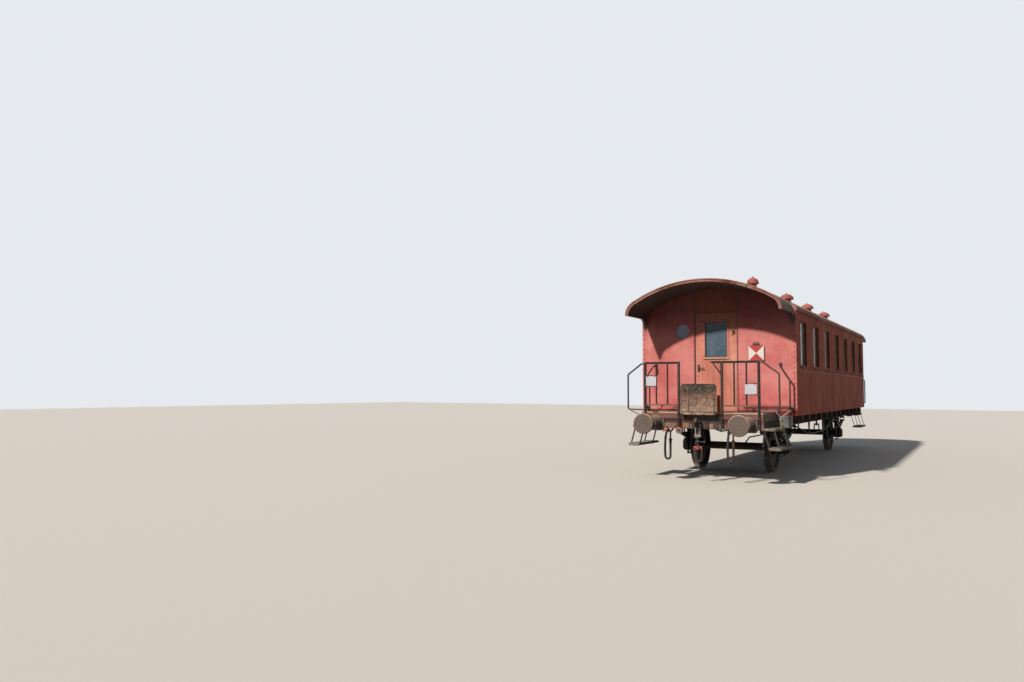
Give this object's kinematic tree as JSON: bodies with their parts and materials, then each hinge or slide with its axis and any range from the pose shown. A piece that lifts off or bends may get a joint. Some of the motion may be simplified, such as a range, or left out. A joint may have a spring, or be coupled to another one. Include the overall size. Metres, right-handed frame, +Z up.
{
  "type": "passenger coach",
  "caption": "Railway passenger coach with open end platforms, an arched roof with ventilators, glazed saloon with benches, leaf springs and screw couplings.",
  "frame": {"origin": "on the floor under the wheel flanges, half way along the coach and across it; the rail top is 28 mm above it", "axes": "+X to the right when looking from the near end along the coach, +Y along the coach from the near end to the far end, +Z up"},
  "size_m": [3.104, 12.96, 3.812],
  "materials": {
    "end_paint": "sun-bleached red enamel, weathered",
    "side_paint": "brown-red enamel, streaked",
    "door_paint": "faded orange-brown enamel",
    "roof_paint": "dusty red-lead, faded",
    "frame_paint": "black-brown, dirty",
    "headstock_paint": "faded red, rusty lower strip",
    "railing_paint": "black, satin",
    "grab_steel": "dark paint worn by hands",
    "hanger_paint": "white, chipped",
    "fall_plate_steel": "flaking paint over rust",
    "deck_board": "grey weathered boards",
    "step_board": "grey weathered boards and iron straps",
    "bench_wood": "varnished slats",
    "window_frame_paint": "pale bars",
    "clear_glass": "clear, dusty",
    "buffer_steel": "red-grey paint, greasy face",
    "hook_steel": "oiled forging, rusty",
    "wheel_steel": "rusty web, bright tread",
    "axle_steel": "rusty",
    "box_iron": "oily casting",
    "spring_steel": "dark leaves, rust in the joints",
    "brake_iron": "brake dust",
    "tank_paint": "black, dusty",
    "handle_brass": "worn",
    "hose_rubber": "matt",
    "cock_paint": "red, chipped",
    "sign_paint": "red and white fields",
    "plate_grey": "grey paint, streaked with rust",
    "plate_paint": "white, blank"
  },
  "bodies": {
    "coach": {"air_tanks": "tank_paint", "axle_guards": "frame_paint", "axleboxes": "box_iron", "bench_backs": "bench_wood", "bench_seats": "bench_wood", "body_brackets": "frame_paint", "brake_gear": "brake_iron", "buffer_heads": "buffer_steel", "buffer_housings": "buffer_steel", "corner_plates": "plate_grey", "couplings": "hook_steel", "cross_members": "frame_paint", "draw_hooks": "hook_steel", "end_wall_far": "end_paint", "end_wall_near": "end_paint", "grab_rails": "grab_steel", "headstocks": "headstock_paint", "hood_brackets": "railing_paint", "hose_heads": "hook_steel", "hose_left_far": "hose_rubber", "hose_left_near": "hose_rubber", "hose_right_far": "hose_rubber", "hose_right_near": "hose_rubber", "leaf_springs": "spring_steel", "marker_plates": "plate_paint", "pipe_ends": "cock_paint", "platform_floors": "deck_board", "railings": "railing_paint", "roof": "roof_paint", "roof_hoods": "roof_paint", "roof_vents": "roof_paint", "saloon_floor": "deck_board", "side_wall_left": "side_paint", "side_wall_right": "side_paint", "solebars": "frame_paint", "step_hangers": "hanger_paint", "steps": "step_board", "tail_sign": "sign_paint", "truss_rods": "frame_paint", "window_frames": "window_frame_paint", "window_glass": "clear_glass"},
    "wheelset_near": {"wheels_near": "wheel_steel", "axle_near": "axle_steel"},
    "wheelset_far": {"wheels_far": "wheel_steel", "axle_far": "axle_steel"},
    "end_door_near": {"door_near": "door_paint", "door_glass_near": "clear_glass", "door_handles_near": "handle_brass"},
    "end_door_far": {"door_far": "door_paint", "door_glass_far": "clear_glass", "door_handles_far": "handle_brass"},
    "bridge_plate_near": {"fall_plate_near": "fall_plate_steel"},
    "bridge_plate_far": {"fall_plate_far": "fall_plate_steel"}
  },
  "joints": [
    {"name": "wheelset_near_spin", "type": "hinge", "parent": "coach", "child": "wheelset_near", "pos_m": [0, -3.425, 0.528], "axis": [1, 0, 0], "continuous": true},
    {"name": "end_door_near_hinge", "type": "hinge", "parent": "coach", "child": "end_door_near", "pos_m": [0.417, -4.704, 1.3], "axis": [0, 0, -1], "range_deg": [0, 90]},
    {"name": "bridge_plate_near_hinge", "type": "hinge", "parent": "coach", "child": "bridge_plate_near", "pos_m": [0, -5.925, 1.253], "axis": [1, 0, 0], "range_deg": [0, 95]},
    {"name": "wheelset_far_spin", "type": "hinge", "parent": "coach", "child": "wheelset_far", "pos_m": [0, 3.425, 0.528], "axis": [1, 0, 0], "continuous": true},
    {"name": "end_door_far_hinge", "type": "hinge", "parent": "coach", "child": "end_door_far", "pos_m": [-0.417, 4.704, 1.3], "axis": [0, 0, -1], "range_deg": [0, 90]},
    {"name": "bridge_plate_far_hinge", "type": "hinge", "parent": "coach", "child": "bridge_plate_far", "pos_m": [0, 5.925, 1.253], "axis": [-1, 0, 0], "range_deg": [0, 95]}
  ]
}
